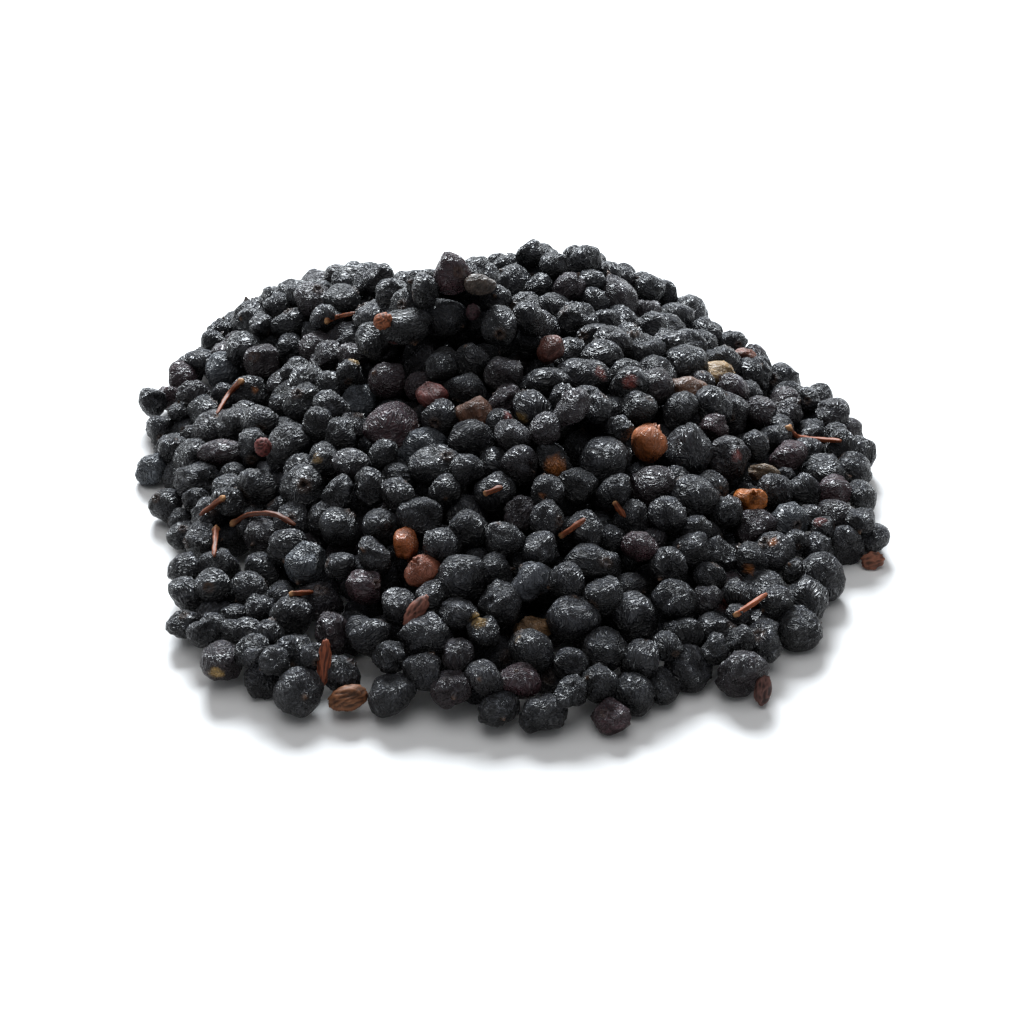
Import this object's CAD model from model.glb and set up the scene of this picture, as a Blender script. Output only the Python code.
"""A heap of dried elderberries: their skins, the loose stalks and scraps, the floor and the light.

Lengths are in millimetres until a mesh is made. The berries settle by the same rule as the solids,
so each skin lies where its solid is.
"""
import functools
import itertools
import math
from collections import namedtuple

import bpy
import numpy as np
from bpy.props import FloatProperty, FloatVectorProperty, PointerProperty
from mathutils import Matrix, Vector


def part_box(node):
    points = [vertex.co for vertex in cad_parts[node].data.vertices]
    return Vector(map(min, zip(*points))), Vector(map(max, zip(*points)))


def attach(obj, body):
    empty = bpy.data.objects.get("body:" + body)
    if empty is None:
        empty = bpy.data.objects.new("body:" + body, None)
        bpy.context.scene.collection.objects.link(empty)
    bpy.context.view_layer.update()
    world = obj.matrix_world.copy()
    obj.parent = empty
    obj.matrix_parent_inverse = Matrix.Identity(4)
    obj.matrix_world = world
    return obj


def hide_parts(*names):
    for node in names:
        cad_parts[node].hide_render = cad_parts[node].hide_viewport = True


bl_info = {
    "name": "Dried elderberry heap",
    "version": (1, 0, 0),
    "blender": (4, 5, 0),
    "location": "3D View > Sidebar > Elderberries",
    "description": "Dresses a heap of dried elderberries with skins, stalks and scraps",
    "category": "Object",
}

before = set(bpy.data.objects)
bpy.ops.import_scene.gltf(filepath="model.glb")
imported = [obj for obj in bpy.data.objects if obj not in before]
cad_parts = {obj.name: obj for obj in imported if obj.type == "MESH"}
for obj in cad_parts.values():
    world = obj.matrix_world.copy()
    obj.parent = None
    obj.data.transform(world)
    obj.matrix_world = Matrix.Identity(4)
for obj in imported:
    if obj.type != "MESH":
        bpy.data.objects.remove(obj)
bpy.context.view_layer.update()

MM = 0.001

# The berries' sizes, and how they settle
SMALLEST_RADIUS = 1.65
RADIUS_SPAN = 0.75
ACROSS = {"small": 3.4, "middling": 3.9, "large": 4.4, "great": 5.0}
PRESS = 0.94  # dried skins give, so two middles stand this share of their radii apart
RIM_HEIGHT = 4.3  # one berry deep at the edge
MOUNDS = [  # middle x and y, half width, half depth, top, and how much of a cone it is
    (-1.5, 3.0, 36.5, 43.0, 18.2, 0.35),
    (-6.0, 8.0, 18.0, 16.0, 26.5, 0.35),
    (5.0, 26.0, 21.0, 17.0, 16.8, 0.3),
    (-18.0, 21.0, 20.0, 18.0, 16.0, 0.3),
    (20.0, 10.0, 14.0, 17.0, 9.5, 0.3),
    (4.0, -8.0, 13.0, 13.0, 20.0, 0.3),
    (-30.0, 14.5, 13.0, 13.5, 7.5, 0.3),
    (-27.5, 23.0, 12.0, 10.5, 6.5, 0.3),
    (28.5, 0.0, 11.0, 16.0, 6.5, 0.3),
    (-20.0, -18.0, 15.0, 19.5, 6.0, 0.3),
    (17.0, -18.0, 15.0, 18.5, 6.0, 0.3),
]
SEED = 20260
FIELD_LEFT, FIELD_WIDTH, FIELD_FRONT, FIELD_DEPTH = -44, 88, -42, 92  # where berries are let go
REACH = 12  # farther off than this, two berries can't touch
FARTHEST_ROLL = 7
FIRST_STEP, LAST_STEP, LEAST_FALL = 0.5, 0.05, 1e-9

# A filling stays this far under the mounds, give or take its slack, and ends after so many misses
INNER_FILL = {"drop": 3.0, "slack": 0.3, "stop": 250}
OUTER_FILL = {"drop": 0.0, "slack": 0.5, "stop": 500}

# How near two berries may come, as a share of their radii: both seen, both pale, or one a filler
SEEN_APART = 0.93
PALE_APART = 1.06
FILL_APART = 0.86
HIDING_SHARE = 0.66  # a nearer berry that overlaps a seen one by more than this hides it
WAYS = np.array([(1, 0), (0.7, 0.7), (0, 1), (-0.7, 0.7), (-1, 0), (-0.7, -0.7), (0, -1), (0.7, -0.7)])

# Where the photograph was taken from, and its scale
VIEW_FROM = (0.0, -170.0, 113.0)
VIEW_TO = (0.0, -4.5, 0.0)
VIEW_PIXELS = 1840.0
VIEW_MIDDLE = 512.0
PHOTO_WIDTH = 1024
SIGHT_START, SIGHT_STEP = 130.0, 0.1  # how a line of sight is followed down to the heap

# The berries that stand out, each by the pixel at its middle in the photograph; one that is not
# round has two more numbers, how wide and how high it is seen, of its full size
SEEN = [
    ("dark", "small", [
        (425, 291), (261, 327), (152, 402), (503, 401), (640, 408), (494, 465), (756, 447), (820, 400),
        (847, 431), (860, 452), (862, 496), (804, 491), (776, 491), (712, 489), (548, 522), (370, 488),
        (186, 570), (188, 595), (341, 566), (398, 606), (184, 625), (207, 630), (452, 688), (485, 632),
        (498, 710), (570, 665), (662, 692), (706, 600), (817, 551), (873, 538),
    ]),
    ("dark", "middling", [
        (556, 268), (584, 264), (650, 288), (291, 323), (291, 350), (375, 341), (302, 401), (332, 407),
        (530, 344), (352, 466), (339, 437), (573, 407), (681, 411), (521, 466), (728, 458), (854, 470),
        (165, 506), (259, 484), (340, 527), (382, 527), (202, 542), (232, 540), (263, 538), (252, 591),
        (291, 615), (243, 637), (221, 662), (341, 674), (532, 650), (543, 714), (605, 649), (632, 696),
        (688, 680), (763, 641), (716, 634), (668, 569), (754, 529), (773, 552), (836, 518), (846, 546),
    ]),
    ("dark", "large", [
        (512, 285), (343, 300), (263, 362), (250, 394), (327, 362), (389, 379, 1, 0.85),
        (498, 326, 0.9, 1), (578, 321), (602, 358, 1, 0.8), (464, 391), (470, 442),
        (692, 497, 1.15, 0.85), (578, 486, 1.15, 0.7), (199, 481, 1.1, 0.85), (225, 454, 1.15, 0.6),
        (304, 490), (220, 568), (266, 572), (461, 580), (318, 602, 1, 0.9), (370, 634), (296, 657),
        (298, 693), (391, 694), (573, 619), (592, 565, 1.15, 0.8), (740, 674), (763, 592), (804, 599),
    ]),
    ("dark", "great", [
        (407, 327, 1.05, 0.85), (444, 319, 1, 0.85), (639, 352), (545, 384, 1.15, 0.75),
        (585, 376, 1.1, 0.75), (436, 466, 1, 0.8), (688, 451), (290, 449), (637, 620),
    ]),
    ("bloom", "small", [(151, 470)]),
    ("bloom", "middling", [(359, 405), (307, 561), (530, 581), (789, 522)]),
    ("bloom", "large", [(223, 371), (425, 450)]),
    ("plum", "small", [
        (182, 377), (170, 398), (716, 427), (832, 493), (640, 548), (365, 585), (520, 681), (611, 716),
    ]),
    ("plum", "middling", [(788, 458), (450, 274)]),
    ("plum", "great", [(393, 428)]),
    ("brown", "small", [
        (551, 350, 0.85, 0.8), (432, 396, 0.9, 0.75), (744, 358, 0.9, 0.7), (749, 501, 0.95, 0.8),
        (405, 545, 0.8, 1),
    ]),
    ("brown", "middling", [(475, 416, 0.95, 0.9), (423, 574, 0.9, 1), (534, 629, 1, 0.75)]),
    ("brown", "large", [(650, 442, 0.88, 1), (684, 391, 1, 0.7)]),
    ("tan", "small", [(763, 473, 1, 0.6), (480, 284, 0.9, 0.75)]),
    ("tan", "middling", [(717, 375, 0.95, 0.75)]),
]
PALE = ("brown", "tan")
ROUND = (1, 1)
Heap = namedtuple("Heap", ("berries", "colours", "pixels", "squeezes"))

# The small berries in the holes of the lowest layer
SNUG_TRIES = 2500
SNUG_RADIUS, SNUG_SPAN = 1.3, 0.4
SNUG_REACH = 1.5  # another berry is close up to this share of the two radii
SNUG_HEIGHT = 4.5
SNUG_OPENING = 2.6  # the widest turn without a close berry, in radians
SNUG_HIDING = 0.4

# Berries whose crown is seen, and which way it points: right, up and towards the eye
CROWNS = {
    (304, 490): (0.1, 0.25, 1.0),
    (423, 574): (-0.5, 0.8, 0.5),
    (650, 442): (0.45, 1.0, 0.25),
    (639, 352): (-0.3, 1.0, 0.3),
    (749, 501): (0.2, 0.5, 0.9),
    (297, 693): (0.0, 0.6, 0.8),
    (534, 629): (-0.4, 0.9, 0.5),
}

# The colour of each brown or tan berry
PALE_HUES = {
    (534, 629): (0.16, 0.085, 0.035),
    (423, 574): (0.24, 0.075, 0.04),
    (405, 545): (0.3, 0.08, 0.02),
    (749, 501): (0.44, 0.125, 0.015),
    (763, 473): (0.17, 0.115, 0.07),
    (650, 442): (0.34, 0.1, 0.028),
    (475, 416): (0.13, 0.055, 0.03),
    (432, 396): (0.13, 0.035, 0.03),
    (684, 391): (0.11, 0.048, 0.024),
    (717, 375): (0.32, 0.2, 0.085),
    (744, 358): (0.16, 0.05, 0.025),
    (551, 350): (0.13, 0.04, 0.028),
    (480, 284): (0.08, 0.058, 0.045),
}

# Coloured flecks on the dark skins: the pixel at the middle, the radius in millimetres, the colour
FLECKS = [
    ((554, 468), 0.9, "ember"), ((541, 497), 0.35, "ember"), ((773, 543), 0.4, "ember"),
    ((748, 569), 0.4, "ember"), ((256, 389), 0.4, "ember"), ((725, 603), 0.5, "rust"),
    ((601, 373), 0.6, "rust"), ((630, 382), 0.6, "rust"), ((819, 521), 0.5, "rust"),
    ((508, 417), 0.4, "rust"), ((393, 349), 0.5, "rust"), ((736, 455), 0.45, "rust"),
    ((521, 419), 0.55, "straw"), ((355, 362), 0.5, "straw"), ((318, 459), 0.4, "straw"),
    ((479, 619), 0.6, "straw"), ((521, 641), 0.35, "straw"), ((216, 674), 0.6, "straw"),
]

# The stalks, each by the pixels along it
STALKS = [
    [(243, 380), (229, 394), (217, 414)],
    [(325, 322), (338, 317), (354, 313)],
    [(231, 525), (249, 515), (274, 514), (295, 525)],
    [(216, 527), (214, 556)],
    [(290, 594), (313, 592)],
    [(484, 494), (502, 487)],
    [(560, 537), (585, 519)],
    [(614, 502), (625, 517)],
    [(734, 616), (767, 594)],
    [(788, 427), (799, 437), (841, 441)],
    [(224, 497), (200, 515)],
]
STALK_TONES = {3: 0.7, 9: 1.9, 10: 1.4, 11: 0.8}  # how much brighter or darker than the others
STALK_RADIUS = 0.34
STALK_DRAWN = 0.26  # a dried stalk is thinner than its solid
STALK_SIDES = 14
STALK_STEP, STALK_FEWEST_STEPS = 0.25, 12
FLUTES, FLUTE_DEPTH, FLUTE_TWIST = 4, 0.18, 4
LUMP_DEPTH = 0.5
TAPER = (1.1, 0.25)
KNOB_PLACE, KNOB_WIDTH, KNOB_HEIGHT = 0.05, 0.07, 0.5
END_NARROWING, END_STEPS = 0.35, 1.2
TIP_LENGTH = 0.08

# The scraps: length, width and thickness, the tilt as it is seen, in degrees, and the colour
SCRAPS = [
    {"name": "seed_1", "size": (3.9, 1.8, 1.1), "tilt": 55, "hue": (0.22, 0.085, 0.06)},
    {"name": "seed_2", "size": (3.1, 1.7, 0.9), "tilt": 80, "hue": (0.13, 0.06, 0.05)},
    {"name": "seed_3", "size": (2.6, 2.0, 0.9), "tilt": 10, "hue": (0.26, 0.1, 0.06)},
    {"name": "bud_1", "size": (1.9, 1.6, 1.4), "tilt": 90, "hue": (0.035, 0.013, 0.017)},
    {"name": "bud_2", "size": (2.1, 1.9, 1.6), "tilt": 90, "hue": (0.17, 0.045, 0.04)},
    {"name": "bud_3", "size": (2.2, 1.9, 1.6), "tilt": 20, "hue": (0.34, 0.11, 0.05)},
    {"name": "husk_1", "size": (4.6, 1.4, 0.8), "tilt": 85, "hue": (0.24, 0.065, 0.03)},
    {"name": "stub_1", "size": (4.0, 2.5, 2.2), "tilt": 15, "hue": (0.2, 0.08, 0.035)},
]
GRAIN = {"husk": (0.25, 1.6), "stub": (0.2, 1.7), "seed": (0.5, 1.1)}  # noise per mm along and across
EVEN_GRAIN = (1.3, 1.3)
SCRAP_LEAST, SCRAP_RELIEF = 0.86, 0.17  # how far out a scrap's furrows and ridges reach, of its size
SCRAP_GRID = (28, 40)

# The skins: how finely a berry's grid is cut where it shows and where it hardly does
FINE_GRID = (24, 33)
MIDDLE_GRID = (10, 16)
COARSE_GRID = (7, 10)
PALE_GRID = (28, 40)
OPEN_SHARE = 0.27  # a berry that lies more open than this gets the fine grid
SECTORS = 6  # the pieces that the open berries are shared into
POLE_CROWDING = 0.105  # how much closer a grid's rings stand near its poles
FLOOR_GAP = 0.02

# Whether a berry shows: the directions tried from it, and what counts as standing before it
LOOKS = 26
LOWEST_LOOK = -0.1  # its rise; a level look has none and an upright one has 1
BEFORE = 0.3
COVER = 0.85  # the share of its radius within which a berry covers what is behind it

# The form of a skin: flats, broad facets between ridges, a net of small ones, and slow swelling
FLATS, FLAT_EDGE, FLAT_SLANT = 7, 22.0, 0.3
BROAD_FACETS, BROAD_EDGE, BROAD_POWER = 11, 7.0, 1.6
NET_FACETS, NET_EDGE = 52, 18.0
DRAWN_IN = 0.86  # a berry's own radius is this share of its room
SWELL, SWELL_PITCH = 0.36, 0.42
SLOW_PITCH, SLOW_PUSH = 0.5, 0.5  # how the ridges wander, slowly and quickly
QUICK_PITCH, QUICK_PUSH, NET_PUSH = 1.3, 0.14, 0.1
BROAD_CREST, NET_CREST = 0.45, 0.55

# A crown is a ring with lobes round a pit, at angles from the pole, and a stalk leaves a scar
CROWN_RING, CROWN_WIDTH, CROWN_HEIGHT = 0.2, 0.065, 0.24
CROWN_LOBES, LOBE_SHARE, CROWN_STAIN = 5, 0.45, 0.12
PIT_WIDTH, PIT_DEPTH = 0.12, 0.3
CALM_WIDTH, CALM_SHARE, CALM_DEPTH = 0.3, 0.7, 0.1
SCAR_WIDTH, SCAR_DEPTH, STUB_HEIGHT = 0.1, 0.12, 0.75
CLEAR_CROWN, CLEAR_SQUASH = 1.5, 0.4  # of a berry whose crown is seen

SKIN_SEED = 11
NOISE_SEED = 977

# What each berry draws for itself: the least and the most of it
STRETCH = ([0.9, 0.9, 0.78], [1.17, 1.17, 1.15])
OFFSET = (0, 200)
FLAT_HEIGHT = (0.66, 1.02)
BROAD_DEPTH = (0.0, 1.0)
NET_DEPTH = (0.3, 1.0)
FALLEN = (0.35, 1.0)
WRINKLED = (0.55, 1.25)
SQUASH = (0.35, 1.0)
CROWN = (-0.6, 1)
STUB = (-1.2, 1)
TONE = (0.6, 1.6)
WARMTH = (-2.2, 0.8)

# The paint of the dark skins
HAZE_DEPTH, HAZE_SHARE = 36.0, 0.22  # more bloom towards the back of the heap
MARK_SHARES = (0.35, 0.9)  # how brown a crown and a scar are
FLECK_EDGE, FLECK_MIDDLE, FLECK_RAGGED, FLECK_PITCH = 1.6, 0.8, 0.8, 1.6

# The fine crinkles of every skin: lengths in millimetres, and shares
WARP_PITCH, WARP_PUSH = 1.1, 1.2
CRINKLE_EDGE, CRINKLE_POWER, FINER_SHARE = 0.24, 1.6, 0.5
CREST_LEAST = 0.35
DULL_TO = 0.5  # a crinkle this high is as smooth as the skin gets
DUSTY_FROM, DUSTY_TO, DUSTY_LEAST = 0.0, 0.9, 0.04  # dust lies where the skin faces up
DARK_FINISH = {"roughness": 0.24, "crinkle": 0.18, "dust": 0.28}
PALE_FINISH = {"roughness": 0.42, "crinkle": 0.08, "dust": 0.06}

# The dry finish of stalks and scraps
DRY_GLOSS = 0.25
DRY_PITCH, DRY_DEPTH = 2500.0, 0.06
STALK_ROUGHNESS, SCRAP_ROUGHNESS = 0.55, 0.6

# The studio, in metres
FLOOR_HALF, FLOOR_ROUGHNESS = 3.0, 0.9
KEY_LIGHT = {"place": (-0.1, 0.72, 0.52), "size": 0.42, "colour": (0.91, 0.96, 1.0)}
TOP_LIGHT = {"place": (-0.1, 0.0, 1.3), "size": 1.2, "colour": (1, 1, 1)}
LIT_POINT = (0, 0, 0.01)
SKY_COLOUR, SKY_STRENGTH = (0.95, 0.97, 1.0, 1.0), 0.22
NEAREST_SEEN = 0.01


def unit(v):
    """A vector made one long."""
    length = math.sqrt(v[0] * v[0] + v[1] * v[1] + v[2] * v[2])
    return (v[0] / length, v[1] / length, v[2] / length)


def cross(a, b):
    return (a[1] * b[2] - a[2] * b[1], a[2] * b[0] - a[0] * b[2], a[0] * b[1] - a[1] * b[0])


FORWARD = unit([b - a for a, b in zip(VIEW_FROM, VIEW_TO)])
RIGHT = unit(cross(FORWARD, (0.0, 0.0, 1.0)))
UP = cross(RIGHT, FORWARD)


def sight(pixel):
    """The line of sight through a pixel, one millimetre deep."""
    a = (pixel[0] - VIEW_MIDDLE) / VIEW_PIXELS
    b = (VIEW_MIDDLE - pixel[1]) / VIEW_PIXELS
    return [FORWARD[i] + RIGHT[i] * a + UP[i] * b for i in range(3)]


def along(line, depth):
    """The point at a depth on a line of sight."""
    return [VIEW_FROM[i] + line[i] * depth for i in range(3)]


def seen_at(point):
    """Where a point is seen, in pixels from the picture's middle, and how deep it lies."""
    q = [point[i] - VIEW_FROM[i] for i in range(3)]
    depth = q[0] * FORWARD[0] + q[1] * FORWARD[1] + q[2] * FORWARD[2]
    across = q[0] * RIGHT[0] + q[1] * RIGHT[1] + q[2] * RIGHT[2]
    up = q[0] * UP[0] + q[1] * UP[1] + q[2] * UP[2]
    return VIEW_PIXELS * across / depth, VIEW_PIXELS * up / depth, depth


def surface(x, y):
    """The heap's height: the highest of its mounds, each part cone and part dome."""
    best = 0.0
    for mx, my, half_width, half_depth, top, cone in MOUNDS:
        u = (x - mx) / half_width
        v = (y - my) / half_depth
        q = u * u + v * v
        if q < 1:
            rise = cone * (1 - math.sqrt(q)) + (1 - cone) * (1 - q)
            best = max(best, RIM_HEIGHT + (top - RIM_HEIGHT) * rise)
    return best


def near_to(berries, x, y):
    """The berries that one at x and y could touch."""
    return berries[(np.abs(berries[:, 0] - x) < REACH) & (np.abs(berries[:, 1] - y) < REACH)]


def rest_height(near, xs, ys, r, press=PRESS):
    """The height at which a ball of radius r rests on the berries near it, for several places."""
    if not len(near):
        return np.full(len(xs), r)
    dx = near[:, 0] - xs[:, None]
    dy = near[:, 1] - ys[:, None]
    reach = (near[:, 3] + r) * press
    gap = reach * reach - dx * dx - dy * dy
    tops = np.where(gap > 0, near[:, 2] + np.sqrt(np.maximum(gap, 0)), r)
    return np.maximum(r, tops.max(1))


def clear_of(a, b, share):
    """Whether two berries stand more than a share of their radii apart."""
    dx, dy, dz = a[0] - b[0], a[1] - b[1], a[2] - b[2]
    return dx * dx + dy * dy + dz * dz > share * (a[3] + b[3]) * (share * (a[3] + b[3]))


class Pile:
    """Berries that are let go one by one, each of which rolls down until it rests."""

    def __init__(self):
        self.seed = SEED
        self.berries = np.zeros((0, 4))

    def draw(self):
        """The next random number, from 0 to 1."""
        self.seed = self.seed * 16807 % 2147483647
        return self.seed / 2147483647

    def roll(self, x, y, r):
        """Where a berry let go at x and y comes to rest, by steps to the lowest place round it."""
        near = near_to(self.berries, x, y)
        x0, y0, step = x, y, FIRST_STEP * r
        z = float(rest_height(near, np.array([x]), np.array([y]), r)[0])
        while step > LAST_STEP:
            xs = x + WAYS[:, 0] * step
            ys = y + WAYS[:, 1] * step
            zs = rest_height(near, xs, ys, r)
            k = int(np.argmin(zs))
            rolled = (xs[k] - x0) * (xs[k] - x0) + (ys[k] - y0) * (ys[k] - y0)
            if zs[k] < z - LEAST_FALL and rolled < FARTHEST_ROLL * FARTHEST_ROLL:
                x, y, z = float(xs[k]), float(ys[k]), float(zs[k])
            else:
                step *= 0.5
        return x, y, z, r

    def snug(self, tries, hides):
        """Small berries in the holes of the lowest layer: each has others close to it on all sides."""
        for _ in range(tries):
            r = SNUG_RADIUS + SNUG_SPAN * self.draw()
            x = FIELD_LEFT + FIELD_WIDTH * self.draw()
            y = FIELD_FRONT + FIELD_DEPTH * self.draw()
            if surface(x, y) < r:
                continue
            berry = self.roll(x, y, r)
            near = near_to(self.berries, *berry[:2])
            way = near[:, :2] - berry[:2]
            close = np.hypot(*way.T) < SNUG_REACH * (near[:, 3] + r)
            angles = np.sort(np.arctan2(*way[close].T))
            turn = np.diff(np.append(angles, angles[:1] + 2 * math.pi)).max(initial=0)
            if berry[2] < SNUG_HEIGHT and close.any() and turn < SNUG_OPENING and not hides(berry):
                self.berries = np.vstack([self.berries, berry])

    def fill(self, hides, drop, slack, stop):
        """Let berries go under the mounds until many in a row find no room."""
        missed = 0
        while missed < stop:
            r = SMALLEST_RADIUS + RADIUS_SPAN * self.draw()
            x = FIELD_LEFT + FIELD_WIDTH * self.draw()
            y = FIELD_FRONT + FIELD_DEPTH * self.draw()
            if surface(x, y) - drop < r:
                continue
            berry = self.roll(x, y, r)
            missed += 1
            if berry[2] + r <= surface(*berry[:2]) - drop + slack and not hides(berry):
                self.berries = np.vstack([self.berries, berry])
                missed = 0


def apart(colour, other):
    """How far apart two berries of these colours stand, as a share of their radii."""
    return PALE_APART if colour in PALE and other in PALE else SEEN_APART


def place_seen():
    """The berries that stand out, front ones first, each down its line of sight to the surface and
    deeper along it until it is clear of the ones before it."""
    rows = [(pixel[:2], pixel[2:] or ROUND, ACROSS[size] / 2, colour)
            for colour, size, pixels in SEEN for pixel in pixels]
    rows.sort(key=lambda row: -row[0][1])
    placed = []
    for pixel, squeeze, r, colour in rows:
        line = sight(pixel)
        depth = SIGHT_START
        x, y, z = along(line, depth)
        while z > max(r, surface(x, y) - r):
            depth += SIGHT_STEP
            x, y, z = along(line, depth)
        while not all(clear_of((x, y, max(z, r), r), other, apart(colour, kind))
                      for other, kind, _, _ in placed):
            depth += SIGHT_STEP
            x, y, z = along(line, depth)
        placed.append(((x, y, max(z, r), r), colour, pixel, squeeze))
    return placed


@functools.lru_cache(maxsize=1)
def settled_heap():
    """Every berry: x, y, z and radius, its colour, its pixel in the photograph or None, and how wide
    and how high it is seen."""
    pile = Pile()
    pile.fill(lambda berry: False, **INNER_FILL)
    placed = place_seen()
    views = [(*seen_at(berry), berry[3]) for berry, _, _, _ in placed]

    def hides(berry, share=HIDING_SHARE):
        px, py, depth = seen_at(berry)
        for mx, my, mark_depth, mark_r in views:
            reach = share * VIEW_PIXELS * (mark_r / mark_depth + berry[3] / depth)
            if depth < mark_depth and (px - mx) * (px - mx) + (py - my) * (py - my) < reach * reach:
                return True
        return False

    inner = [tuple(float(v) for v in berry) for berry in pile.berries]
    kept = [b for b in inner if not hides(b) and all(clear_of(b, m[0], FILL_APART) for m in placed)]
    pile.berries = np.array(kept + [mark[0] for mark in placed])
    pile.fill(hides, **OUTER_FILL)
    pile.snug(SNUG_TRIES, lambda berry: hides(berry, SNUG_HIDING))
    rest = len(pile.berries) - len(kept) - len(placed)
    colours = ["dark"] * len(kept) + [mark[1] for mark in placed] + ["dark"] * rest
    pixels = [None] * len(kept) + [mark[2] for mark in placed] + [None] * rest
    squeezes = [ROUND] * len(kept) + [mark[3] for mark in placed] + [ROUND] * rest
    return Heap(pile.berries, np.array(colours), pixels, np.array(squeezes, float))


def point_seen(pixel, radius):
    """The point on the berries that a pixel shows, lifted by a radius."""
    berries = settled_heap().berries
    line = sight(pixel)
    depth = SIGHT_START
    while True:
        x, y, z = along(line, depth)
        near = near_to(berries, x, y)
        if z <= rest_height(near, np.array([x]), np.array([y]), radius, 1)[0]:
            return np.array([x, y, z])
        depth += SIGHT_STEP


def field_noise(points, seed=0):
    """Smooth noise of about -0.7 to 0.7 at points one cell apart: each corner of a point's cell has
    a random direction, its product with the way to the point is taken, and the eight products are
    blended by the step 6t^5 - 15t^4 + 10t^3 along each axis."""
    chance = np.random.RandomState(NOISE_SEED + seed)
    order = chance.permutation(256)
    ways = chance.normal(size=(256, 3))
    ways = (ways / np.linalg.norm(ways, axis=1, keepdims=True)).astype(np.float32)
    cell = np.floor(points).astype(np.int32)
    t = (points - cell).astype(np.float32)
    blend = t * t * t * (t * (t * 6 - 15) + 10)
    total = np.zeros(points.shape[:-1], np.float32)
    for corner in itertools.product((0, 1), repeat=3):
        at = (cell + corner) & 255
        way = ways[order[(order[(order[at[..., 0]] + at[..., 1]) & 255] + at[..., 2]) & 255]]
        share = np.prod(np.where(corner, blend, 1 - blend), axis=-1)
        total += share * np.sum(way * (t - np.array(corner, np.float32)), axis=-1)
    return total


def smooth_step(low, high, value):
    """A rise from 0 to 1 between two values, 3t^2 - 2t^3."""
    t = np.clip((value - low) / (high - low), 0, 1)
    return t * t * (3 - 2 * t)


def turns(chance, count):
    """Random turns of the whole space, as matrices: a unit quaternion's nine products."""
    q = chance.normal(size=(count, 4))
    w, x, y, z = (q / np.linalg.norm(q, axis=1, keepdims=True)).T
    return np.stack([
        1 - 2 * (y * y + z * z), 2 * (x * y - z * w), 2 * (x * z + y * w),
        2 * (x * y + z * w), 1 - 2 * (x * x + z * z), 2 * (y * z - x * w),
        2 * (x * z - y * w), 2 * (y * z + x * w), 1 - 2 * (x * x + y * y),
    ], axis=-1).reshape(count, 3, 3)


def globe(rings, sides):
    """A pole, rings of points and the other pole on a unit ball, the rings closer near the poles:
    the angle from the pole is pi (s - crowding * sin(2 pi s)) for s from 0 to 1."""
    s = np.arange(1, rings + 1) / (rings + 1)
    theta = np.pi * (s - POLE_CROWDING * np.sin(2 * np.pi * s))
    phi = 2 * np.pi * np.arange(sides) / sides
    grid = np.stack([
        np.sin(theta)[:, None] * np.cos(phi),
        np.sin(theta)[:, None] * np.sin(phi),
        np.cos(theta)[:, None] * np.ones(sides),
    ], axis=-1).reshape(-1, 3)
    return np.vstack([[0, 0, 1], grid, [0, 0, -1]])


def globe_faces(rings, sides):
    """Fans at the poles and four-sided faces between the rings, all facing outwards."""
    side = np.arange(sides)
    after = (side + 1) % sides
    first, last = 1, 1 + (rings - 1) * sides
    fans = [
        np.stack([np.zeros(sides, int), first + side, first + after], 1),
        np.stack([np.full(sides, 1 + rings * sides), last + after, last + side], 1),
    ]
    ring = (1 + np.arange(rings - 1) * sides)[:, None]
    quads = np.stack([ring + side, ring + sides + side, ring + sides + after, ring + after], -1)
    return np.vstack(fans), quads.reshape(-1, 4)


ATTRIBUTE_KINDS = {1: ("FLOAT", "value"), 3: ("FLOAT_VECTOR", "vector"), 4: ("FLOAT_COLOR", "color")}


def piece_from(name, points, grid, attributes, material, nodes):
    """One object that holds many closed skins: points is (skins, points of a globe, 3) in
    millimetres, and each attribute is given for the same points."""
    count, size = points.shape[:2]
    fans, quads = globe_faces(*grid)
    starts = (np.arange(count) * size)[:, None, None]
    fans = (fans + starts).reshape(-1, 3)
    quads = (quads + starts).reshape(-1, 4)
    mesh = bpy.data.meshes.new(name)
    mesh.vertices.add(count * size)
    mesh.vertices.foreach_set("co", (points * MM).astype(np.float32).ravel())
    corners = np.concatenate([fans.ravel(), quads.ravel()])
    mesh.loops.add(len(corners))
    mesh.loops.foreach_set("vertex_index", corners.astype(np.int32))
    firsts = np.concatenate([np.arange(len(fans)) * 3, 3 * len(fans) + np.arange(len(quads)) * 4])
    mesh.polygons.add(len(firsts))
    mesh.polygons.foreach_set("loop_start", firsts.astype(np.int32))
    mesh.polygons.foreach_set("use_smooth", np.ones(len(firsts), bool))
    mesh.update(calc_edges=True)
    for label, values in attributes.items():
        kind, field = ATTRIBUTE_KINDS[values.shape[2] if values.ndim == 3 else 1]
        layer = mesh.attributes.new(label, kind, "POINT")
        layer.data.foreach_set(field, values.astype(np.float32).ravel())
    mesh.validate()
    mesh.materials.append(material)
    piece = bpy.data.objects.new(name, mesh)
    bpy.context.scene.collection.objects.link(piece)
    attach(piece, "root")
    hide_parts(*nodes)
    return piece


def openness(berries):
    """The share of directions, over the upper half and a little below it, in which nothing stands
    before a berry's middle."""
    k = np.arange(LOOKS)
    height = LOWEST_LOOK + (1 - LOWEST_LOOK) * (k + 0.5) / LOOKS
    angle = k * math.pi * (3 - math.sqrt(5))
    flat = np.sqrt(1 - height * height)
    ways = np.stack([flat * np.cos(angle), flat * np.sin(angle), height], -1)
    middles, radii = berries[:, :3], berries[:, 3]
    open_ways = np.zeros(len(berries))
    for way in ways:
        forward = middles @ way
        sideways = middles - forward[:, None] * way
        gaps = np.linalg.norm(sideways[:, None] - sideways[None], axis=-1)
        before = (forward[None] - forward[:, None] > BEFORE) & (gaps < COVER * radii[None])
        open_ways += ~before.any(1)
    return open_ways / LOOKS


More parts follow.
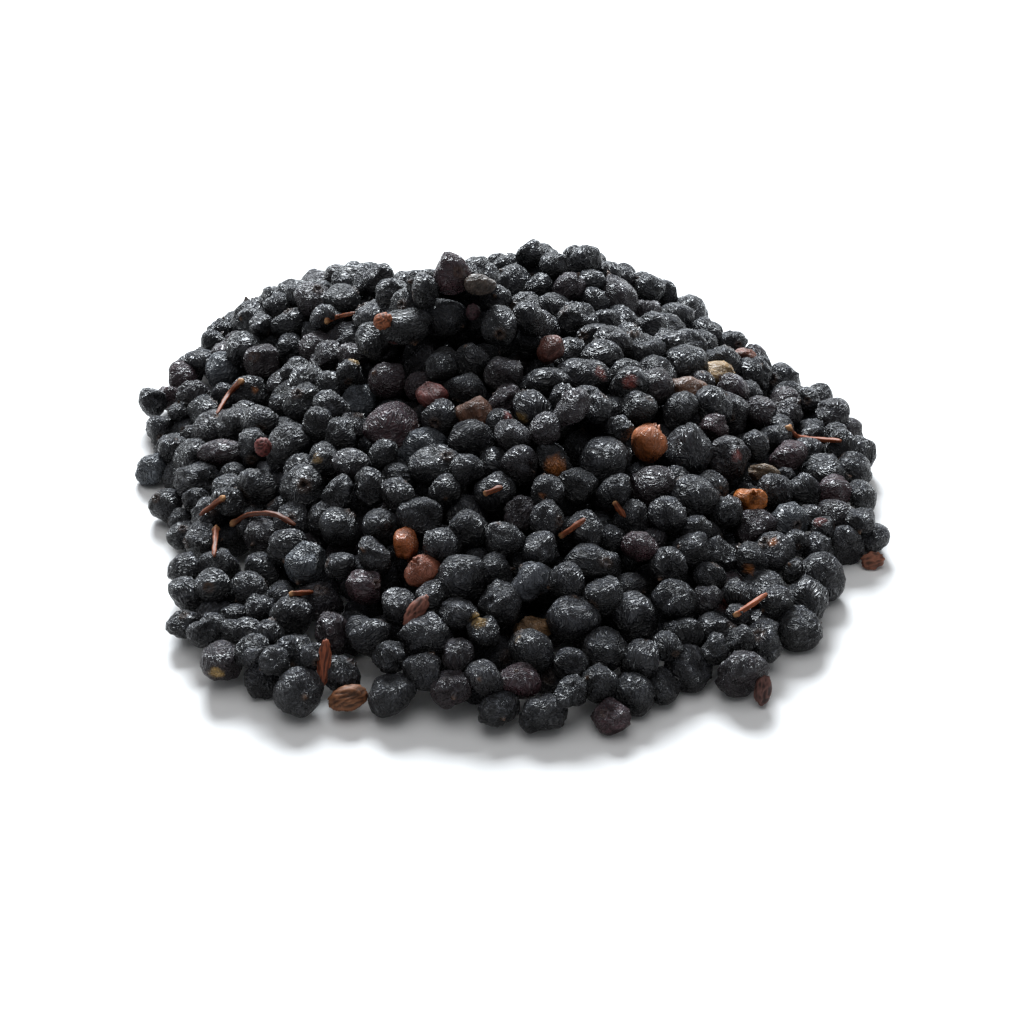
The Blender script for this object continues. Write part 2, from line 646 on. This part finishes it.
def facets(ways, cells, sharpness, depths):
    """How far a skin has sunk at each point between the ridges of a net: the ridges run halfway
    between neighbouring cell middles, and the skin sinks by depth * (1 - exp(-sharpness * e)),
    where e is how much nearer the nearest middle is than the next one."""
    nearness = np.einsum("bvi,bki->bvk", ways, cells)
    nearest = nearness.argmax(-1)
    top = np.partition(nearness, -2, axis=-1)[..., -2:]
    sunk = 1 - np.exp(-sharpness * (top[..., 1] - top[..., 0]))
    return sunk * np.take_along_axis(depths, nearest, 1), sunk


def cut_down(ways, flats, heights):
    """How far out a ball reaches, of its radius, once it is cut down by flats: at angle a from a
    flat's middle at most height / cos(a). The least of these, and of 1, is taken softly, as
    -log(sum(exp(-k x))) / k."""
    slant = np.einsum("bvi,bki->bvk", ways, flats)
    reach = heights[:, None] / np.maximum(slant, FLAT_SLANT)
    return -np.log(np.exp(-FLAT_EDGE * reach).sum(-1) + math.exp(-FLAT_EDGE)) / FLAT_EDGE


def normalised(vectors):
    """Vectors made one long, many at once."""
    return vectors / np.linalg.norm(vectors, axis=-1, keepdims=True)


EYE = np.array([RIGHT, UP, [-v for v in FORWARD]])  # right, up and towards the eye, one in each row


def turned_to(way):
    """The turn that points a berry's crown along a way, given as right, up and towards the eye."""
    out = normalised(np.array(way) @ EYE)
    side = normalised(np.cross(EYE[0], out))
    return np.stack([np.cross(side, out), side, out], -1)


def own_draws(numbers):
    """What each of these berries has for itself, the same whichever berries are asked for."""
    heap = settled_heap()
    chance = np.random.RandomState(SKIN_SEED)
    everyone = len(heap.berries)
    draws = {
        "turn": turns(chance, everyone),
        "stretch": chance.uniform(*STRETCH, (everyone, 3)),
        "offset": chance.uniform(*OFFSET, (everyone, 3)),
        "flats": normalised(chance.normal(size=(everyone, FLATS, 3))),
        "heights": chance.uniform(*FLAT_HEIGHT, (everyone, FLATS)),
        "broad": chance.normal(size=(everyone, BROAD_FACETS, 3)),
        "depths": chance.uniform(*BROAD_DEPTH, (everyone, BROAD_FACETS)) ** BROAD_POWER,
        "net": chance.normal(size=(everyone, NET_FACETS, 3)),
        "net_depths": chance.uniform(*NET_DEPTH, (everyone, NET_FACETS)),
        "fallen": chance.uniform(*FALLEN, everyone),
        "wrinkled": chance.uniform(*WRINKLED, everyone),
        "squash": chance.uniform(*SQUASH, everyone),
        "crown": chance.uniform(*CROWN, everyone).clip(0),
        "stub": chance.uniform(*STUB, everyone).clip(0),
    }
    for number in numbers:
        if heap.pixels[number] in CROWNS:
            draws["turn"][number] = turned_to(CROWNS[heap.pixels[number]])
            draws["crown"][number] = CLEAR_CROWN
            draws["squash"][number] = CLEAR_SQUASH
    return {label: values[numbers].astype(np.float32) for label, values in draws.items()}


def bell(distance, width):
    """A smooth hump, exp(-(distance / width)^2)."""
    return np.exp(-(distance / width) ** 2)


def skins(numbers, grid, look):
    """The skins of several berries, each (points, 3), the crest height of each point from 0 to 1,
    its place for the fine crinkles, and its shares of crown and scar.

    A ball is cut down by a few flats. Its skin sinks between the wandering ridges of a broad net of
    facets and of a close one, and swells by slow noise. At one pole it is calmer, and a crown's ring
    stands up with lobes, height * bell(theta - ring) * (1 + share * cos(lobes * phi)), round a pit.
    At the other pole is a stalk's scar or stub. The whole is then stretched, turned, and squeezed
    as it is seen.
    """
    heap = settled_heap()
    ball = globe(*grid).astype(np.float32)
    own = own_draws(numbers)
    r = heap.berries[numbers, 3][:, None].astype(np.float32)
    place = ball * r[:, :, None] + own["offset"][:, None]
    slow = np.stack([field_noise(place * SLOW_PITCH + 31 * k, k) for k in range(3)], -1)
    quick = np.stack([field_noise(place * QUICK_PITCH + 47 * k, k) for k in range(3)], -1)
    wandered = normalised(ball + SLOW_PUSH * slow + QUICK_PUSH * quick)
    out = cut_down(wandered, own["flats"], own["heights"])
    broad, broad_sunk = facets(wandered, normalised(own["broad"]), BROAD_EDGE, own["depths"])
    squash = np.ones((len(numbers), 1, 3), np.float32)
    squash[:, 0, 2] = own["squash"]
    squashed = normalised(wandered * squash + NET_PUSH * quick)
    net, net_sunk = facets(squashed, normalised(own["net"] * squash), NET_EDGE, own["net_depths"])
    move = r * (out - DRAWN_IN) - own["fallen"][:, None] * look.dent_share * r * broad
    move -= look.fold_depth * own["wrinkled"][:, None] * net
    move += SWELL * field_noise(place * SWELL_PITCH, 3)
    theta = np.arccos(ball[:, 2].clip(-1, 1))[None]
    phi = np.arctan2(ball[:, 1], ball[:, 0])[None]
    crown = own["crown"][:, None]
    calm = bell(theta, CALM_WIDTH) * (crown > 0)
    move = move * (1 - CALM_SHARE * calm) - CALM_DEPTH * calm
    ring = bell(theta - CROWN_RING, CROWN_WIDTH) * (1 + LOBE_SHARE * np.cos(CROWN_LOBES * phi))
    move += crown * (CROWN_HEIGHT * ring - PIT_DEPTH * bell(theta, PIT_WIDTH)) * (theta < 1)
    scar = bell(np.pi - theta, SCAR_WIDTH)
    move += scar * (STUB_HEIGHT * own["stub"][:, None] - SCAR_DEPTH)
    shape = ball * (r + move)[:, :, None] * own["stretch"][:, None]
    shape = np.einsum("bij,bvj->bvi", own["turn"], shape)
    seen = shape @ EYE.T
    seen[:, :, :2] *= heap.squeezes[numbers][:, None]
    points = seen @ EYE + heap.berries[numbers, None, :3]
    points[:, :, 2] = np.maximum(points[:, :, 2], FLOOR_GAP)
    crest = (1 - BROAD_CREST * broad_sunk - NET_CREST * net_sunk).clip(0, 1)
    folds = wandered * r[:, :, None] * squash + own["offset"][:, None]
    marks = (crown > 0) * bell(theta - CROWN_RING, CROWN_STAIN), scar * (own["stub"][:, None] > 0)
    return points, crest, folds, marks


def opaque(paint):
    """The paint with a full fourth channel."""
    return np.concatenate([paint, np.ones(paint.shape[:-1] + (1,))], -1)


def dark_paint(numbers, points, crest, marks, look):
    """A colour for each point of the dark skins: black or plum, paler on the crests, with a waxy
    bloom on some and towards the back of the heap, a brown crown and stub, and flecks."""
    chance = np.random.RandomState(SKIN_SEED + 1)
    colours = settled_heap().colours
    everyone = len(colours)
    tone = chance.uniform(*TONE, everyone)[numbers][:, None, None]
    warmth = (chance.uniform(*WARMTH, everyone).clip(0) ** 2)[numbers][:, None, None]
    black, plum, bloom, scar = (np.array(value) for value in (
        look.black, look.plum, look.bloom, look.scar))
    is_plum = (colours[numbers] == "plum")[:, None, None]
    is_bloom = (colours[numbers] == "bloom")[:, None, None]
    raised = crest[:, :, None] ** 2
    paint = black * tone * (0.7 + raised)
    paint = paint * (1 - warmth) + warmth * plum * (0.4 + 0.6 * raised)
    paint = np.where(is_plum, plum * (0.5 + 0.8 * raised), paint)
    paint = np.where(is_bloom, paint * 0.4 + bloom * (0.25 + 0.75 * raised), paint)
    behind = smooth_step(0.0, HAZE_DEPTH, points[:, :, 1:2])
    paint = paint + HAZE_SHARE * behind * (bloom * (0.3 + 0.7 * raised) - paint)
    for mark, brownness in zip(marks, MARK_SHARES):
        share = brownness * mark[:, :, None]
        paint = paint * (1 - share) + scar * share
    for pixel, radius, colour in FLECKS:
        gap = np.linalg.norm(points - point_seen(pixel, 0.0), axis=-1)[:, :, None]
        gap = gap + FLECK_RAGGED * radius * field_noise(points * FLECK_PITCH, 8)[:, :, None]
        share = smooth_step(FLECK_EDGE * radius, FLECK_MIDDLE * radius, gap)
        paint = paint * (1 - share) + np.array(getattr(look, colour)) * share
    return opaque(paint)


class Wiring:
    """Short names for adding and joining nodes."""

    def __init__(self, name):
        self.material = bpy.data.materials.new(name)
        self.material.use_nodes = True
        self.tree = self.material.node_tree
        self.shader = self.tree.nodes["Principled BSDF"]

    def node(self, kind, inputs=None, **settings):
        """A new node, with its settings, and its inputs given as values or joined to outputs."""
        made = self.tree.nodes.new("ShaderNode" + kind)
        for label, value in settings.items():
            setattr(made, label, value)
        for label, value in (inputs or {}).items():
            if isinstance(value, bpy.types.NodeSocket):
                self.tree.links.new(value, made.inputs[label])
            else:
                made.inputs[label].default_value = value
        return made

    def ramp(self, value, start, end, first, last):
        """A value brought from one range into another, and kept in it."""
        return self.node("MapRange", {"Value": value, "From Min": start, "From Max": end,
                                      "To Min": first, "To Max": last}).outputs["Result"]

    def mix(self, share, first, second):
        """The colour between two, by a share."""
        made = self.tree.nodes.new("ShaderNodeMix")
        made.data_type = "RGBA"
        sockets = {socket.identifier: socket for socket in made.inputs}
        for label, value in (("Factor_Float", share), ("A_Color", first), ("B_Color", second)):
            if isinstance(value, bpy.types.NodeSocket):
                self.tree.links.new(value, sockets[label])
            else:
                sockets[label].default_value = value
        return next(socket for socket in made.outputs if socket.identifier == "Result_Color")

    def feed(self, socket, value):
        """Give one of the surface's inputs a value, or join it to an output."""
        if isinstance(value, bpy.types.NodeSocket):
            self.tree.links.new(value, self.shader.inputs[socket])
        else:
            self.shader.inputs[socket].default_value = value


def skin_material(name, look, roughness, crinkle, dust):
    """A dried skin: its painted colour, and two nets of fine crinkles as bump, smoother and dustier on
    their crests. A net's height is (1 - distance to the edge / reach)^power, on wandering places."""
    w = Wiring(name)
    place = w.node("Attribute", attribute_name="folds").outputs["Vector"]
    paint = w.node("Attribute", attribute_name="paint").outputs["Color"]
    crest = w.node("Attribute", attribute_name="crest").outputs["Fac"]
    warp = w.node("TexNoise", {"Vector": place, "Scale": WARP_PITCH, "Detail": 2.0}).outputs["Color"]
    pushed = w.node("VectorMath", {0: warp, 1: (0.5, 0.5, 0.5)}, operation="SUBTRACT").outputs[0]
    pushed = w.node("VectorMath", {0: pushed, "Scale": WARP_PUSH}, operation="SCALE").outputs[0]
    bent = w.node("VectorMath", {0: place, 1: pushed}, operation="ADD").outputs[0]
    heights = []
    for spacing in (look.crinkle_spacing, 0.5 * look.crinkle_spacing):
        net = w.node("TexVoronoi", {"Vector": bent, "Scale": 1 / spacing},
                     feature="DISTANCE_TO_EDGE").outputs["Distance"]
        edge = w.ramp(net, 0.0, CRINKLE_EDGE, 1.0, 0.0)
        heights.append(w.node("Math", {0: edge, 1: CRINKLE_POWER}, operation="POWER").outputs[0])
    finer = w.node("Math", {0: heights[1], 1: FINER_SHARE}, operation="MULTIPLY").outputs[0]
    height = w.node("Math", {0: heights[0], 1: finer}, operation="ADD").outputs[0]
    bump = w.node("Bump", {"Height": height, "Strength": 1.0, "Distance": crinkle * MM})
    w.feed("Normal", bump.outputs["Normal"])
    normal = w.node("NewGeometry").outputs["Normal"]
    slope = w.node("SeparateXYZ", {0: normal}).outputs["Z"]
    upward = w.ramp(slope, DUSTY_FROM, DUSTY_TO, DUSTY_LEAST, 1.0)
    wide = w.node("Math", {0: crest, 1: CREST_LEAST}, operation="ADD").outputs[0]
    raised = w.node("Math", {0: height, 1: wide}, operation="MULTIPLY").outputs[0]
    settled = w.node("Math", {0: raised, 1: upward}, operation="MULTIPLY").outputs[0]
    dusty = w.node("Math", {0: settled, 1: dust}, operation="MULTIPLY", use_clamp=True).outputs[0]
    w.feed("Base Color", w.mix(dusty, paint, (*look.dust, 1.0)))
    w.feed("Roughness", w.ramp(raised, 0.0, DULL_TO, look.fold_roughness, roughness))
    w.feed("Specular IOR Level", look.gloss)
    return w.material


def dry_material(name, roughness):
    """A dry woody scrap: its painted colour with a fine grain as bump."""
    w = Wiring(name)
    place = w.node("TexCoord").outputs["Object"]
    paint = w.node("Attribute", attribute_name="paint").outputs["Color"]
    grain = w.node("TexNoise", {"Vector": place, "Scale": DRY_PITCH, "Detail": 3.0}).outputs["Fac"]
    bump = w.node("Bump", {"Height": grain, "Strength": 1.0, "Distance": DRY_DEPTH * MM})
    w.feed("Normal", bump.outputs["Normal"])
    w.feed("Base Color", paint)
    w.feed("Specular IOR Level", DRY_GLOSS)
    w.feed("Roughness", roughness)
    return w.material


def smooth_path(points, steps):
    """Points along a curve through the given ones: each span is the cubic whose slope at a point is
    half the way between its neighbours."""
    points = np.asarray(points, float)
    ends = np.vstack([2 * points[0] - points[1], points, 2 * points[-1] - points[-2]])
    t = np.linspace(0, len(points) - 1, steps)
    k = np.minimum(t.astype(int), len(points) - 2)
    t = (t - k)[:, None]
    a, b, c, d = ends[k], ends[k + 1], ends[k + 2], ends[k + 3]
    return 0.5 * (2 * b + (c - a) * t + (2 * a - 5 * b + 4 * c - d) * t ** 2
                  + (3 * b - a - 3 * c + d) * t ** 3)


def stalk_skin(path, number):
    """A dried stalk along a path: its radius at angle phi and share s of the length is
    radius * (1 + depth * cos(flutes * phi + twist * s) + lumps) * (a - b * s), with a knob near its
    foot and narrower ends, each closed by a pole that stands a third of the radius out."""
    radius, sides, steps = STALK_DRAWN, STALK_SIDES, len(path)
    way = np.gradient(path, axis=0)
    way /= np.linalg.norm(way, axis=1, keepdims=True)
    side = np.cross(way, [0.0, 0.0, 1.0])
    side /= np.linalg.norm(side, axis=1, keepdims=True)
    over = np.cross(side, way)
    s = np.linspace(0, 1, steps)[:, None]
    phi = 2 * np.pi * np.arange(sides) / sides
    lumps = field_noise(path[:, None] * 1.5 + np.stack([np.cos(phi), np.sin(phi), 0 * phi], -1) * 0.6
                        + 17 * number, 6)
    end = 1 - END_NARROWING * bell(np.minimum(s, 1 - s) * steps, END_STEPS)
    knob = 1 + KNOB_HEIGHT * bell(s - KNOB_PLACE, KNOB_WIDTH)
    flute = np.cos(FLUTES * phi + FLUTE_TWIST * s)
    taper = TAPER[0] - TAPER[1] * s
    reach = radius * (1 + FLUTE_DEPTH * flute + LUMP_DEPTH * lumps) * taper * end * knob
    rings = path[:, None] + reach[..., None] * (
        np.cos(phi)[None, :, None] * side[:, None] + np.sin(phi)[None, :, None] * over[:, None])
    poles = path[0] - way[0] * radius / 3, path[-1] + way[-1] * radius / 3
    crest = np.clip(0.5 + 0.4 * flute + 0.6 * lumps, 0, 1)
    tip = bell(s, TIP_LENGTH) * np.ones(sides)
    points = np.vstack([poles[0][None], rings.reshape(-1, 3), poles[1][None]])
    return (points, np.concatenate([[0.6], crest.ravel(), [0.6]]),
            np.concatenate([[1.0], tip.ravel(), [0.0]]))


class BerrySettings(bpy.types.PropertyGroup):
    """The dried skins."""

    fold_depth: FloatProperty(
        name="Fold depth", description="How far the folds stand up, in millimetres",
        default=0.27, min=0.0, max=1.0)
    dent_share: FloatProperty(
        name="Dents", description="How far the sides have fallen in", default=0.3, min=0.0, max=1.0,
        subtype="FACTOR")
    crinkle_spacing: FloatProperty(
        name="Crinkle spacing", description="The mesh of the fine crinkle net, in millimetres",
        default=0.56, min=0.1, max=2.0)
    black: FloatVectorProperty(
        name="Black", description="Colour of most skins", default=(0.0055, 0.0053, 0.0064),
        subtype="COLOR", min=0, max=1)
    plum: FloatVectorProperty(
        name="Plum", description="Colour of the reddest dark skins", default=(0.048, 0.018, 0.023),
        subtype="COLOR", min=0, max=1)
    bloom: FloatVectorProperty(
        name="Bloom", description="Colour of the waxy bloom", default=(0.09, 0.103, 0.12),
        subtype="COLOR", min=0, max=1)
    scar: FloatVectorProperty(
        name="Scar", description="Colour of crowns and stalk scars", default=(0.12, 0.06, 0.03),
        subtype="COLOR", min=0, max=1)
    dust: FloatVectorProperty(
        name="Dust", description="Colour of the dusty crests", default=(0.2, 0.21, 0.24),
        subtype="COLOR", min=0, max=1)
    gloss: FloatProperty(
        name="Gloss", description="Specular level of the skins", default=0.42, min=0.0, max=1.0)
    fold_roughness: FloatProperty(
        name="Roughness in the folds", description="How dull a skin is between its crinkles",
        default=0.8, min=0.0, max=1.0)
    ember: FloatVectorProperty(
        name="Ember", description="Colour of the orange flecks", default=(0.34, 0.11, 0.02),
        subtype="COLOR", min=0, max=1)
    rust: FloatVectorProperty(
        name="Rust", description="Colour of the red flecks", default=(0.17, 0.03, 0.022),
        subtype="COLOR", min=0, max=1)
    straw: FloatVectorProperty(
        name="Straw", description="Colour of the yellow flecks", default=(0.34, 0.21, 0.07),
        subtype="COLOR", min=0, max=1)
    pale_tone: FloatProperty(
        name="Pale berries", description="How bright the brown and tan berries are", default=1.0,
        min=0.0, max=2.0)


class ScrapSettings(bpy.types.PropertyGroup):
    """The stalks, seeds, buds and husk."""

    stalk: FloatVectorProperty(
        name="Stalk", description="Colour of the stalks", default=(0.17, 0.045, 0.016),
        subtype="COLOR", min=0, max=1)
    tip: FloatVectorProperty(
        name="Tip", description="Colour of the stalks' broken ends", default=(0.42, 0.22, 0.1),
        subtype="COLOR", min=0, max=1)
    scrap_tone: FloatProperty(
        name="Scraps", description="How bright the seeds, buds and husk are", default=1.0,
        min=0.0, max=2.0)


class StageSettings(bpy.types.PropertyGroup):
    """The floor and the light."""

    floor: FloatVectorProperty(
        name="Floor", description="Colour of the floor", default=(0.86, 0.86, 0.86),
        subtype="COLOR", min=0, max=1)
    key_power: FloatProperty(
        name="Key light", description="Power of the soft light above and behind, in watts",
        default=24.0, min=0.0, unit="POWER")
    fill_power: FloatProperty(
        name="Top light", description="Power of the broad light overhead, in watts",
        default=6.0, min=0.0, unit="POWER")


class DarkBerries(bpy.types.Operator):
    """Make the skins of the black and plum berries, in pieces by sector."""

    bl_idname = "elderberry.dark_berries"
    bl_label = "Dark berries"

    def execute(self, context):
        look = context.scene.elderberry_skins
        heap = settled_heap()
        dark = np.flatnonzero(~np.isin(heap.colours, PALE))
        if len(dark) < SECTORS:
            raise RuntimeError("too few dark berries have settled")
        share = openness(heap.berries)[dark]
        angle = np.arctan2(heap.berries[dark, 1], heap.berries[dark, 0])
        around = np.argsort(angle, kind="stable")
        fine = np.array_split(dark[around][share[around] > OPEN_SHARE], SECTORS)
        groups = [(f"dark_berries_{k + 1}", numbers, FINE_GRID) for k, numbers in enumerate(fine)]
        groups += [
            ("dark_berries_between", dark[(share > 0) & (share <= OPEN_SHARE)], MIDDLE_GRID),
            ("dark_berries_inside", dark[share == 0], COARSE_GRID),
        ]
        material = skin_material("dark_skin", look, **DARK_FINISH)
        for name, numbers, grid in groups:
            points, crest, folds, marks = skins(numbers, grid, look)
            paint = dark_paint(numbers, points, crest, marks, look)
            piece_from(name, points, grid, {"paint": paint, "crest": crest, "folds": folds}, material,
                       ["berry_heap"])
        return {"FINISHED"}


class PaleBerries(bpy.types.Operator):
    """Make the brown and tan berries, each in its own piece."""

    bl_idname = "elderberry.pale_berries"
    bl_label = "Brown and tan berries"

    def execute(self, context):
        look = context.scene.elderberry_skins
        heap = settled_heap()
        pale = np.flatnonzero(np.isin(heap.colours, PALE))
        if len(pale) != len(PALE_HUES):
            raise RuntimeError("a brown or tan berry is missing")
        points, crest, folds, marks = skins(pale, PALE_GRID, look)
        for kind in PALE:
            material = skin_material(f"{kind}_skin", look, **PALE_FINISH)
            for k, number in enumerate(pale):
                if heap.colours[number] != kind:
                    continue
                hue = look.pale_tone * np.array(PALE_HUES[heap.pixels[number]])
                paint = hue * (0.3 + 0.95 * crest[k][:, None])
                node = f"{kind}_berry_{k + 1}"
                attributes = {"paint": opaque(paint)[None], "crest": crest[k:k + 1],
                              "folds": folds[k:k + 1]}
                piece_from(f"{node}_skin", points[k:k + 1], PALE_GRID, attributes, material, [node])
        return {"FINISHED"}


class Stalks(bpy.types.Operator):
    """Make the loose stalks."""

    bl_idname = "elderberry.stalks"
    bl_label = "Stalks"

    def execute(self, context):
        scraps = context.scene.elderberry_scraps
        material = dry_material("dry_stalk", STALK_ROUGHNESS)
        for number, pixels in enumerate(STALKS, 1):
            path = [point_seen(pixel, STALK_RADIUS) for pixel in pixels]
            length = sum(np.linalg.norm(b - a) for a, b in zip(path, path[1:]))
            if length < STALK_RADIUS:
                raise RuntimeError(f"stalk_{number} has no length")
            steps = max(STALK_FEWEST_STEPS, int(length / STALK_STEP))
            points, crest, tip = stalk_skin(smooth_path(path, steps), number)
            tone = STALK_TONES.get(number, 1.0)
            paint = tone * np.array(scraps.stalk) * (0.35 + crest[:, None])
            paint = paint * (1 - tip[:, None]) + np.array(scraps.tip) * tip[:, None]
            piece_from(f"stalk_{number}_skin", points[None], (steps, STALK_SIDES),
                       {"paint": opaque(paint)[None]}, material, [f"stalk_{number}"])
        return {"FINISHED"}


class Scraps(bpy.types.Operator):
    """Make the seeds, buds, husk and stub."""

    bl_idname = "elderberry.scraps"
    bl_label = "Seeds, buds and husk"

    def execute(self, context):
        scraps = context.scene.elderberry_scraps
        ball = globe(*SCRAP_GRID)
        materials = {}
        for number, scrap in enumerate(SCRAPS):
            kind = scrap["name"].split("_")[0]
            if kind not in materials:
                materials[kind] = dry_material(f"dry_{kind}", SCRAP_ROUGHNESS)
            size = np.array(scrap["size"])
            pitch = np.array(GRAIN.get(kind, EVEN_GRAIN))[[0, 1, 1]]
            lumps = field_noise(ball * size * pitch + 5 * number, 7)
            finer = field_noise(ball * size * 2 * pitch + number, 5)
            ridge = (1 - 2.6 * np.abs(lumps) - 1.2 * np.abs(finer)).clip(0, 1)
            shape = ball * size / 2 * (SCRAP_LEAST + SCRAP_RELIEF * ridge)[:, None]
            turn = math.radians(scrap["tilt"])
            turned = np.stack([
                shape[:, 0] * math.cos(turn) - shape[:, 1] * math.sin(turn),
                shape[:, 0] * math.sin(turn) + shape[:, 1] * math.cos(turn),
                shape[:, 2],
            ], -1)
            lowest, highest = (np.array(corner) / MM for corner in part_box(scrap["name"]))
            if not (highest > lowest).all():
                raise RuntimeError(f"{scrap['name']} has no room in the frame")
            points = turned @ EYE + (lowest + highest) / 2
            points[:, 2] = np.maximum(points[:, 2], FLOOR_GAP)
            paint = scraps.scrap_tone * np.array(scrap["hue"]) * (0.2 + ridge[:, None])
            piece_from(f"{scrap['name']}_skin", points[None], SCRAP_GRID,
                       {"paint": opaque(paint)[None]}, materials[kind], [scrap["name"]])
        return {"FINISHED"}


def area_light(name, power, place, size, colour):
    """A square light at a place, turned to the heap."""
    lamp = bpy.data.lights.new(name, "AREA")
    lamp.shape = "SQUARE"
    lamp.size = size
    lamp.energy = power
    lamp.color = colour
    light = bpy.data.objects.new(name, lamp)
    light.location = place
    light.rotation_euler = (Vector(LIT_POINT) - Vector(place)).to_track_quat("-Z", "Y").to_euler()
    bpy.context.scene.collection.objects.link(light)


class Stage(bpy.types.Operator):
    """Make the floor, the light and the camera."""

    bl_idname = "elderberry.stage"
    bl_label = "Floor, light and camera"

    def execute(self, context):
        stage = context.scene.elderberry_stage
        half = FLOOR_HALF
        mesh = bpy.data.meshes.new("floor")
        mesh.from_pydata([(-half, -half, 0), (half, -half, 0), (half, half, 0), (-half, half, 0)], [],
                         [(0, 1, 2, 3)])
        w = Wiring("pale_floor")
        w.feed("Base Color", (*stage.floor, 1.0))
        w.feed("Roughness", FLOOR_ROUGHNESS)
        mesh.materials.append(w.material)
        floor = bpy.data.objects.new("floor", mesh)
        context.scene.collection.objects.link(floor)
        world = bpy.data.worlds.new("studio")
        world.use_nodes = True
        sky = world.node_tree.nodes["Background"]
        sky.inputs["Color"].default_value = SKY_COLOUR
        sky.inputs["Strength"].default_value = SKY_STRENGTH
        context.scene.world = world
        area_light("key_light", stage.key_power, **KEY_LIGHT)
        area_light("top_light", stage.fill_power, **TOP_LIGHT)
        lens = bpy.data.cameras.new("camera")
        lens.lens = lens.sensor_width * VIEW_PIXELS / PHOTO_WIDTH
        lens.clip_start = NEAREST_SEEN
        camera = bpy.data.objects.new("camera", lens)
        camera.location = [v * MM for v in VIEW_FROM]
        camera.rotation_euler = Vector(FORWARD).to_track_quat("-Z", "Y").to_euler()
        context.scene.collection.objects.link(camera)
        context.scene.camera = camera
        context.scene.view_settings.view_transform = "Standard"
        return {"FINISHED"}


class ElderberryPanel(bpy.types.Panel):
    """The heap's pieces, in the sidebar."""

    bl_idname = "ELDERBERRY_PT_heap"
    bl_label = "Elderberry heap"
    bl_space_type = "VIEW_3D"
    bl_region_type = "UI"
    bl_category = "Elderberries"

    def draw(self, context):
        for group in ("elderberry_skins", "elderberry_scraps", "elderberry_stage"):
            settings = getattr(context.scene, group)
            for label in settings.bl_rna.properties.keys():
                if label not in ("rna_type", "name"):
                    self.layout.prop(settings, label)
        for operator in OPERATORS:
            self.layout.operator(operator.bl_idname)


OPERATORS = (DarkBerries, PaleBerries, Stalks, Scraps, Stage)
GROUPS = {
    "elderberry_skins": BerrySettings,
    "elderberry_scraps": ScrapSettings,
    "elderberry_stage": StageSettings,
}


def register():
    for kind in (*GROUPS.values(), *OPERATORS, ElderberryPanel):
        bpy.utils.register_class(kind)
    for label, kind in GROUPS.items():
        setattr(bpy.types.Scene, label, PointerProperty(type=kind))


def unregister():
    for label in GROUPS:
        delattr(bpy.types.Scene, label)
    for kind in reversed((*GROUPS.values(), *OPERATORS, ElderberryPanel)):
        bpy.utils.unregister_class(kind)


def main():
    register()
    bpy.ops.elderberry.dark_berries()
    bpy.ops.elderberry.pale_berries()
    bpy.ops.elderberry.stalks()
    bpy.ops.elderberry.scraps()
    bpy.ops.elderberry.stage()


if __name__ == "__main__":
    main()
